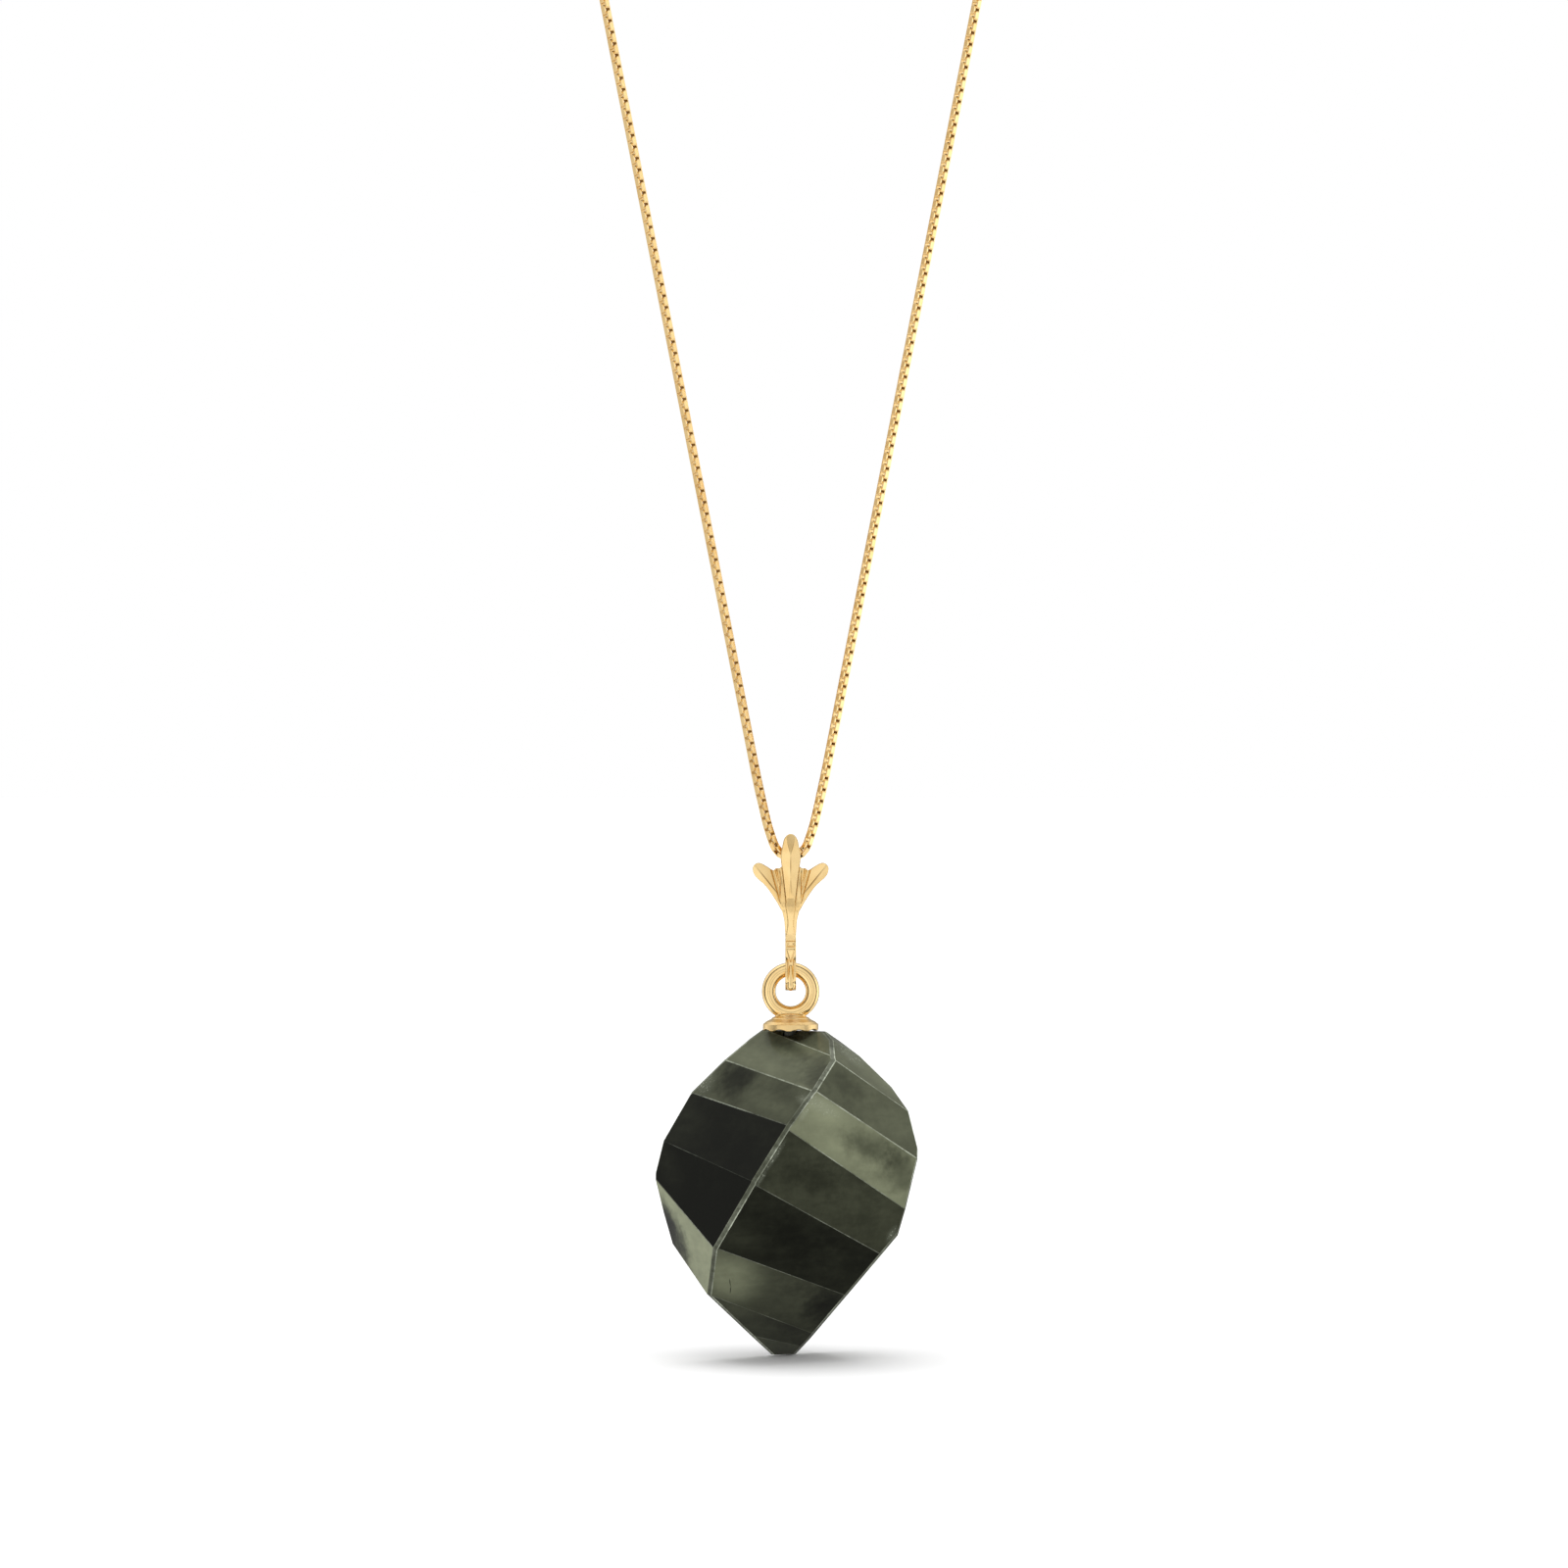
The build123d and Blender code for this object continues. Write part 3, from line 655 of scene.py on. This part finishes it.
def rounded_route(corners):
    """Points along a route with its corners rounded as far as their runs allow."""
    points = [corners[0]]
    for before, corner, after in zip(corners, corners[1:], corners[2:]):
        way_in = (corner - before).normalized()
        way_out = (after - corner).normalized()
        turn = way_in.angle(way_out)
        tangent = ARC_SHARE * min((corner - before).length, (after - corner).length)
        radius = tangent / tan(turn / 2)
        inward = (way_out - way_in).normalized()
        centre = corner + inward * radius / cos(turn / 2)
        start = corner - way_in * tangent - centre
        axis = way_in.cross(way_out).normalized()
        steps = max(ARC_STEPS, int(radius * turn / ARC_STEP))
        for step in range(steps + 1):
            points.append(centre + Matrix.Rotation(turn * step / steps, 3, axis) @ start)
    return points + [corners[-1]]


def chain_corners():
    """The route's corners, from the chain's right end round the pendant to its left end."""
    bend_out, bend_up = CHAIN_BEND[-1]
    rise = CHAIN_HALF - pivot.z - bend_up * MM
    crown_radius = (bend_out * MM * cos(SIDE_LEAN) + rise * sin(SIDE_LEAN)) / (1 + sin(SIDE_LEAN))
    turn = (pi / 2 + SIDE_LEAN) / CROWN_CORNERS
    corner_radius = crown_radius / cos(turn / 2)
    half = [Vector((loop_centre_out() + CHAIN_LOOP_RADIUS, 0, CHAIN_HALF))]
    for corner in range(CROWN_CORNERS):
        angle = (corner + 0.5) * turn
        up = CHAIN_HALF - crown_radius + corner_radius * cos(angle)
        half.append(Vector((corner_radius * sin(angle), 0, up)))
    half += [Vector((x * MM, 0, pivot.z + z * MM)) for x, z in reversed(CHAIN_BEND)]
    return half + [Vector((-point.x, 0, point.z)) for point in reversed(half)]


def loop_centre_out():
    """How far from the middle the loops that end the chain stand."""
    top = [abs(v.co.x) for v in frame["nodes"]["chain"].data.vertices if v.co.z > -CHAIN_HALF]
    return min(top) + CHAIN_LOOP_RADIUS + CHAIN_LOOP_WIRE / 2


def steps_along(points, pitch):
    """Places, ways and shares along a line at an even pitch that fits its length."""
    line = np.array([tuple(point) for point in points])
    runs = np.linalg.norm(np.diff(line, axis=0), axis=1)
    keep = np.append(True, runs > SAME_PLACE)
    line = line[keep]
    distance = np.append(0, np.cumsum(runs[keep[1:]]))

    def at(spots):
        return np.stack([np.interp(spots, distance, line[:, axis]) for axis in range(3)], 1)

    count = int(distance[-1] / pitch)
    spots = (np.arange(count) + 0.5) * distance[-1] / count
    ways = at(spots + pitch / 4) - at(spots - pitch / 4)
    return at(spots), ways / np.linalg.norm(ways, axis=1, keepdims=True), spots / distance[-1]


def chamfered_box(width, length, chamfer):
    """The eight corners of a rectangle with its corners cut, once round."""
    w = width / 2
    h = length / 2
    return [(w, h - chamfer), (w - chamfer, h), (chamfer - w, h), (-w, h - chamfer),
            (-w, chamfer - h), (chamfer - w, -h), (w - chamfer, -h), (w, chamfer - h)]


def link_shape(settings):
    """One box link as points across, through and along, its faces, and how much painted shade each face
    takes.
    """
    width, strip, edge = settings.width, settings.strip, settings.edge
    length = settings.pitch + 2 * strip + settings.play
    depth = width - 2 * strip - 2 * settings.play
    inner = chamfered_box(width - 2 * strip, length - 2 * strip, INNER_CHAMFER * strip)
    rim = chamfered_box(width - 2 * edge, length - 2 * edge, OUTER_CHAMFER * strip)
    outer = chamfered_box(width, length, OUTER_CHAMFER * strip)
    loops = [(inner, -depth / 2), (rim, -depth / 2), (outer, edge - depth / 2),
             (outer, depth / 2 - edge), (rim, depth / 2), (inner, depth / 2)]
    points = [(x, through, z) for loop, through in loops for x, z in loop]
    corners = len(inner)
    faces = []
    face_shade = []
    for ring in range(len(loops)):
        beyond = (ring + 1) % len(loops)
        for spot in range(corners):
            ahead = (spot + 1) % corners
            here, there = corners * ring, corners * beyond
            faces.append((here + spot, here + ahead, there + ahead, there + spot))
            if beyond == 0:
                face_shade.append(1.0)
            elif ring == OUTER_BAND and spot not in LINK_SIDES:
                face_shade.append(LINK_END_PAINTED_SHADE)
            else:
                face_shade.append(0.0)
    return np.array(points), np.array(faces), np.array(face_shade)


def links_mesh(name, places, ways, twists, settings):
    """Interlocked box links, each turned a quarter from the one before."""
    shape, faces, face_shade = link_shape(settings)
    front = np.array([0.0, -1.0, 0.0])
    points = []
    shades = []
    for index, (place, way, twist) in enumerate(zip(places, ways, twists)):
        side = np.cross(front, way)
        angle = twist + (index % 2) * pi / 2
        through = cos(angle) * front + sin(angle) * side
        across = np.cross(through, way)
        points.append(place + shape @ np.stack([across, through, way]))
        # Links that open to the right take the full painted shade inside, the others less
        opens_right = through[0] * through[1] < 0
        shades.append(face_shade * INNER_PAINTED_SHADES[0 if opens_right else 1])
    firsts = len(shape) * np.arange(len(places))[:, None, None]
    mesh = bpy.data.meshes.new(name)
    mesh.from_pydata(np.concatenate(points).tolist(), [], (faces[None] + firsts).reshape(-1, 4).tolist())
    # Each face's painted shade, kept as the inner attribute
    mesh.attributes.new("inner", "FLOAT", "FACE").data.foreach_set("value", np.concatenate(shades))
    return mesh


def add_loop(mesh, centre, radius, wire, around=28, section=12):
    """Adds a level ring of round wire to a mesh."""
    form = bmesh.new()
    form.from_mesh(mesh)
    rows = []
    for step in range(around):
        turn = 2 * pi * step / around
        row = []
        for spot in range(section):
            swing = 2 * pi * spot / section
            out = radius + wire / 2 * cos(swing)
            place = centre + Vector((out * cos(turn), out * sin(turn), wire / 2 * sin(swing)))
            row.append(form.verts.new(place))
        rows.append(row)
    for row, beyond in zip(rows, rows[1:] + rows[:1]):
        for spot in range(section):
            ahead = (spot + 1) % section
            face = form.faces.new((row[spot], beyond[spot], beyond[ahead], row[ahead]))
            face.smooth = True
    form.to_mesh(mesh)
    form.free()


class NECKLACE_OT_make_chain(bpy.types.Operator):
    """Link the box chain along its route, in a right and a left half"""

    bl_idname = "necklace.make_chain"
    bl_label = "Link the box chain"

    def execute(self, context):
        settings = context.scene.necklace.chain
        gold = gold_material(context.scene.necklace.gold, "chain_gold", STRIP_GRAIN, shaded_inside=True)
        places, ways, shares = steps_along(rounded_route(chain_corners()), settings.pitch)
        twists = settings.turn + shares * (pi / 2 - 2 * settings.turn)
        half = len(places) // 2
        half -= half % 2
        halves = (("chain_right", 1, slice(None, half)), ("chain_left", -1, slice(half, None)))
        for name, side, some in halves:
            mesh = links_mesh(name, places[some], ways[some], twists[some], settings)
            centre = Vector((side * loop_centre_out(), 0, CHAIN_HALF))
            add_loop(mesh, centre, CHAIN_LOOP_RADIUS, CHAIN_LOOP_WIRE)
            piece = new_piece(name, mesh, "necklace", gold)
            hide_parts("chain")
        return {"FINISHED"}


# Stone

Facet = namedtuple("Facet", "normal, name, on_back, mark, tone")


def facet_rows():
    """Each facet on the front and half a turn round, where it has no mark and so no clouds."""
    rows = []
    for number, (name, turn, slope, front, back) in enumerate(FACETS):
        for half_turn, mark, tone in ((0, number + 1, front), (180, NO_FACET, back)):
            angle = radians(turn + half_turn)
            level = cos(radians(slope))
            normal = Vector((sin(angle) * level, -cos(angle) * level, sin(radians(slope))))
            rows.append(Facet(normal, name, half_turn == 180, mark, tone))
    return rows


def mark_facets(form, layers):
    """Marks each face of the stone that is a facet, and gives the facet by the face's number."""
    rows = facet_rows()
    found = {}
    for face in form.faces:
        row = max(rows, key=lambda row: row.normal.dot(face.normal))
        if row.normal.dot(face.normal) > cos(FACET_MATCH):
            found[face.index] = row
            face[layers[0]] = row.mark
            face[layers[1]] = row.tone
    return found


def facet_edges(form, found, settings):
    """The edges between facets: those of the ridges, and the others with their width and values."""
    ridges = []
    edges = []
    for edge in form.edges:
        faces = edge.link_faces
        if len(faces) != 2 or not all(face.index in found for face in faces):
            continue
        ends = [found[face.index] for face in faces]
        sides = [(row.name.split()[0], row.on_back) for row in ends]
        point = edge.verts[0].co.copy()
        if "foot" not in (sides[0][0], sides[1][0]) and sides[0] != sides[1]:
            ends.sort(key=lambda row: row.name.startswith("right") != row.on_back)
            ridges.append((ends[0].normal, ends[1].normal, point))
        else:
            pair = tuple(sorted(row.name for row in ends))
            width, wear = WORN_AND_HIGHLIT_EDGES.get(pair, (settings.edge / MM, EDGE_WEAR_AND_HIGHLIGHT))
            tone = (ends[0].tone + ends[1].tone) / 2
            edges.append((ends[0].normal, ends[1].normal, point, width, (NO_FACET, tone, wear)))
    return ridges, edges


def grind(form, layers, first, second, point, width, values):
    """Grinds the edge between two faces down to a narrow flat, and marks the new face.

    An edge that an earlier cut took away stays as it is.
    """
    turn = first.angle(second)
    way = (first + second).normalized()
    parts = form.verts[:] + form.edges[:] + form.faces[:]
    depth = width / 2 * tan(turn / 2)
    cut = bmesh.ops.bisect_plane(form, geom=parts, dist=ON_CUT, plane_co=point - way * depth, plane_no=way,
                                 clear_outer=True)["geom_cut"]
    rim = [part for part in cut if isinstance(part, bmesh.types.BMEdge)]
    if len(rim) < 3:
        return
    for face in bmesh.ops.contextual_create(form, geom=rim)["faces"]:
        for layer, value in zip(layers, values):
            face[layer] = value


def stone_mesh(settings):
    """The cut stone with its ground ridges and worn edges. Each face's painted shading, and its wear with
    painted highlight, are kept as attributes.
    """
    form = node_form("stone")
    bmesh.ops.dissolve_limit(form, angle_limit=FLAT_MATCH, verts=form.verts, edges=form.edges)
    layers = [form.faces.layers.float.new(name) for name in STONE_MARKS]
    ridges, edges = facet_edges(form, mark_facets(form, layers), settings)
    for first, second, point in ridges:
        grind(form, layers, first, second, point, settings.ridge / MM, (NO_FACET, RIDGE_SHADING, RIDGE_WEAR_AND_HIGHLIGHT))
    for first, second, point in ridges:
        middle = (first + second).normalized()
        inward = middle * settings.ridge / MM / 2 * tan(first.angle(second) / 2)
        for side, wear in zip((first, second), RIM_WEARS_AND_HIGHLIGHTS):
            across = (side - middle * side.dot(middle)).normalized()
            corner = point - inward + across * settings.ridge / MM / 2
            grind(form, layers, middle, side, corner, settings.rim / MM, (NO_FACET, RIM_SHADING, wear))
    for edge in edges:
        grind(form, layers, *edge)
    form.transform(Matrix.Scale(MM, 4))
    return form_mesh("stone_cut", form)


def stone_material(settings, middle):
    """Polished dark stone: painted shading for each facet, soft clouds that are partly painted shading,
    frosty patches that are partly painted sheen, and worn edges with painted highlights.
    """
    material, shader, place = new_material("green_stone")
    facet, tone, wear = [shader.add("Attribute", attribute_name=name).outputs["Fac"] for name in STONE_MARKS]

    def patch(right, up, half_width, half_height, lean, fade, ragged=0.0):
        """An ellipse as seen from the front, right through the stone."""
        centre = middle + Vector((right, 0, up)) * MM
        sizes = (half_width * MM, THROUGH, half_height * MM)
        return shader.ellipse(place, centre, sizes, lean, *fade, ragged)

    soft = shader.noise(place, *SOFT)
    mottle = shader.noise(place, *MOTTLE)
    grain = {"Vector": place, "Rotation": (0, STREAK_LEAN, 0), "Scale": STREAK_STRETCH}
    streaks = shader.noise(shader.add("Mapping", grain).outputs[0], *STREAKS)
    ragged = shader.math("ADD", shader.sway(soft, SOFT_EDGE), shader.sway(mottle, MOTTLE_EDGE))
    # The face's painted shading, with random tone from the noise
    level = shader.math("ADD", tone, shader.sway(soft, SOFT_TONE), shader.sway(mottle, MOTTLE_TONE),
                        shader.sway(streaks, STREAK_TONE))
    marks = {row.name: row.mark for row in facet_rows() if not row.on_back}
    # Clouds, each kept to its facet, partly painted light and shade across it
    for name, *shape, lighter in CLOUDS_AND_SHADING:
        here = shader.add("Math", {0: facet, 1: marks[name], 2: 0.5}, operation="COMPARE").outputs[0]
        cloud_and_shading = shader.math("MULTIPLY", patch(*shape, CLOUD_AND_SHADING_FADE, ragged), here, lighter)
        level = shader.math("ADD", level, cloud_and_shading)
    curve = {0: shader.math("MAXIMUM", level, 0.0), 1: TONE_CURVE}
    level = shader.add("Math", curve, operation="POWER", use_clamp=True).outputs[0]
    body = shader.mix(level, rgba(settings.dark), rgba(settings.light))
    front = shader.math("LESS_THAN", shader.add("SeparateXYZ", {0: place}).outputs[1], 0.0)
    for shape in CRACKS:
        crack = shader.math("MULTIPLY", patch(*shape, CRACK_FADE), front, CRACK_SHADE)
        body = shader.mix(crack, body, rgba(settings.dark))

    # Frosty patches, partly painted sheen, in the pale worn colour
    frost_and_sheen = 0.0
    for shape in FROST_AND_SHEEN:
        frost_and_sheen = shader.math("MAXIMUM", frost_and_sheen, patch(*shape, FROST_AND_SHEEN_FADE, ragged))
    flecks = shader.spread(shader.noise(place, *FLECKS), *FLECKS_SHOW)
    broken = shader.spread(shader.noise(place, *BREAKS), *BREAKS_SHOW)
    faded = shader.spread(shader.noise(place, *FADES), *FADES_SHOW)
    # Pale wear with painted highlight on the edges, and frost with painted sheen
    worn = shader.math("MAXIMUM", shader.math("MULTIPLY", wear, broken, faded),
                       shader.math("MULTIPLY", frost_and_sheen, flecks))
    relief = {"Height": mottle, "Strength": STONE_RELIEF_STRENGTH, "Distance": STONE_RELIEF}
    shader.surface({
        "Base Color": shader.mix(worn, body, rgba(settings.worn)),
        "Roughness": shader.spread(worn, 0.0, 1.0, *STONE_ROUGHNESS),
        "Specular IOR Level": STONE_GLOSS,
        "Normal": shader.add("Bump", relief).outputs[0],
    })
    return material


class NECKLACE_OT_cut_stone(bpy.types.Operator):
    """Cut the twisted stone with its worn edges and their painted highlights"""

    bl_idname = "necklace.cut_stone"
    bl_label = "Cut the stone"

    def execute(self, context):
        settings = context.scene.necklace.stone
        middle = Vector((0, 0, (PIVOT_PIXEL[1] - STONE_MIDDLE_PIXEL) * PIXEL + pivot.z))
        material = stone_material(settings, middle)
        piece = new_piece("stone_cut", stone_mesh(settings), "drop", material)
        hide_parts("stone")
        return {"FINISHED"}


# Stage

def studio_world(fill):
    """White where the camera looks, an even light on dull surfaces, and a room with dark gaps for gloss."""
    world = bpy.data.worlds.new("studio")
    world.use_nodes = True
    bpy.context.scene.world = world
    shader = Shader(world.node_tree)
    right, away, up = shader.add("SeparateXYZ", {0: shader.add("TexCoord").outputs["Generated"]}).outputs
    ways = {"right": right, "up": up}
    room = 1.0
    for way, start, end, before, after in ROOM_LIGHT:
        room = shader.math("MULTIPLY", room, shader.spread(ways[way], start, end, before, after))
    for middle, half_width, shade in DARK_GAPS:
        far = shader.math("ABSOLUTE", shader.math("SUBTRACT", away, middle))
        room = shader.math("MULTIPLY", room, shader.spread(far, half_width / 2, half_width, shade, 1.0))
    rays = shader.add("LightPath").outputs
    strength = shader.between(rays["Is Glossy Ray"], fill, room)
    strength = shader.between(rays["Is Camera Ray"], strength, 1.0)
    light = shader.add("Background", {"Color": rgba((1, 1, 1)), "Strength": strength})
    shader.add("OutputWorld", {"Surface": light.outputs[0]})


def overhead_light(strength, spread, lean):
    """A wide soft light from above that gloss doesn't show."""
    data = bpy.data.lights.new("overhead", "SUN")
    data.energy = strength
    data.angle = spread
    light = add_object("overhead", data)
    light.rotation_euler = (0, -lean, 0)
    light.visible_glossy = False


def floor_material():
    """Dull white with faint wide patches."""
    material, shader, place = new_material("floor_white")
    shade = shader.spread(shader.noise(place, FLOOR_PATCH), *NOISE_RANGE, *FLOOR_SHADES)
    colour = shader.add("CombineColor", {0: shade, 1: shade, 2: shade}).outputs[0]
    shader.surface({"Base Color": colour, "Roughness": FLOOR_ROUGHNESS, "Specular IOR Level": FLOOR_GLOSS})
    return material


def lay_floor(height):
    """A wide level floor at this height, which gloss doesn't show."""
    mesh = bpy.data.meshes.new("floor")
    sides = [(-1, -1), (1, -1), (1, 1), (-1, 1)]
    mesh.from_pydata([(x * FLOOR_HALF, y * FLOOR_HALF, height) for x, y in sides], [], [(0, 1, 2, 3)])
    mesh.materials.append(floor_material())
    floor = add_object("floor", mesh)
    floor.visible_glossy = False


def photo_camera():
    """A camera in the photograph's place, as far off as its lens asks."""
    middle = PHOTO_PIXELS / 2
    right = (middle - PIVOT_PIXEL[0]) * PIXEL
    distance = PHOTO_PIXELS * PIXEL * LENS / SENSOR
    up = pivot.z + (PIVOT_PIXEL[1] - middle) * PIXEL
    data = bpy.data.cameras.new("camera")
    data.lens = LENS
    data.sensor_width = SENSOR
    data.clip_start = NEAR_CLIP
    data.clip_end = FAR_CLIP
    camera = add_object("camera", data)
    camera.location = (right, -distance, up)
    camera.rotation_euler = (pi / 2, 0, 0)
    return camera


class NECKLACE_OT_set_stage(bpy.types.Operator):
    """Set the floor, the lights and the camera"""

    bl_idname = "necklace.set_stage"
    bl_label = "Set the stage"

    def execute(self, context):
        scene = context.scene
        settings = scene.necklace.stage
        low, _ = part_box("stone")
        lay_floor(low.z - settings.gap)
        studio_world(settings.fill)
        overhead_light(settings.sun, settings.spread, settings.lean)
        scene.camera = photo_camera()
        scene.view_settings.view_transform = "Standard"
        return {"FINISHED"}


# Registration

class NecklaceSettings(bpy.types.PropertyGroup):
    """All the necklace's settings."""

    chain: PointerProperty(type=ChainSettings, name="Chain", description="Sizes of the chain's links")
    gold: PointerProperty(type=GoldSettings, name="Gold", description="Colour and finish of the gold")
    stone: PointerProperty(type=StoneSettings, name="Stone", description="Colours and wear of the stone")
    stage: PointerProperty(type=StageSettings, name="Stage", description="Floor and light")


class VIEW3D_PT_necklace(bpy.types.Panel):
    """The necklace's settings, and a button for each of its pieces"""

    bl_label = "Necklace"
    bl_space_type = "VIEW_3D"
    bl_region_type = "UI"
    bl_category = "Necklace"

    def draw(self, context):
        settings = context.scene.necklace
        for group in (settings.chain, settings.gold, settings.stone, settings.stage):
            box = self.layout.box()
            for name in group.__annotations__:
                box.prop(group, name)
        for operator in OPERATORS:
            self.layout.operator(operator.bl_idname)


OPERATORS = (NECKLACE_OT_set_stage, NECKLACE_OT_make_chain, NECKLACE_OT_cast_metal, NECKLACE_OT_cut_stone)
CLASSES = (ChainSettings, GoldSettings, StoneSettings, StageSettings, NecklaceSettings, *OPERATORS,
           VIEW3D_PT_necklace)


def register():
    for cls in CLASSES:
        bpy.utils.register_class(cls)
    bpy.types.Scene.necklace = PointerProperty(type=NecklaceSettings)


def unregister():
    del bpy.types.Scene.necklace
    for cls in reversed(CLASSES):
        bpy.utils.unregister_class(cls)


def main():
    register()
    bpy.ops.necklace.set_stage()
    bpy.ops.necklace.make_chain()
    bpy.ops.necklace.cast_metal()
    bpy.ops.necklace.cut_stone()


if __name__ == "__main__":
    main()
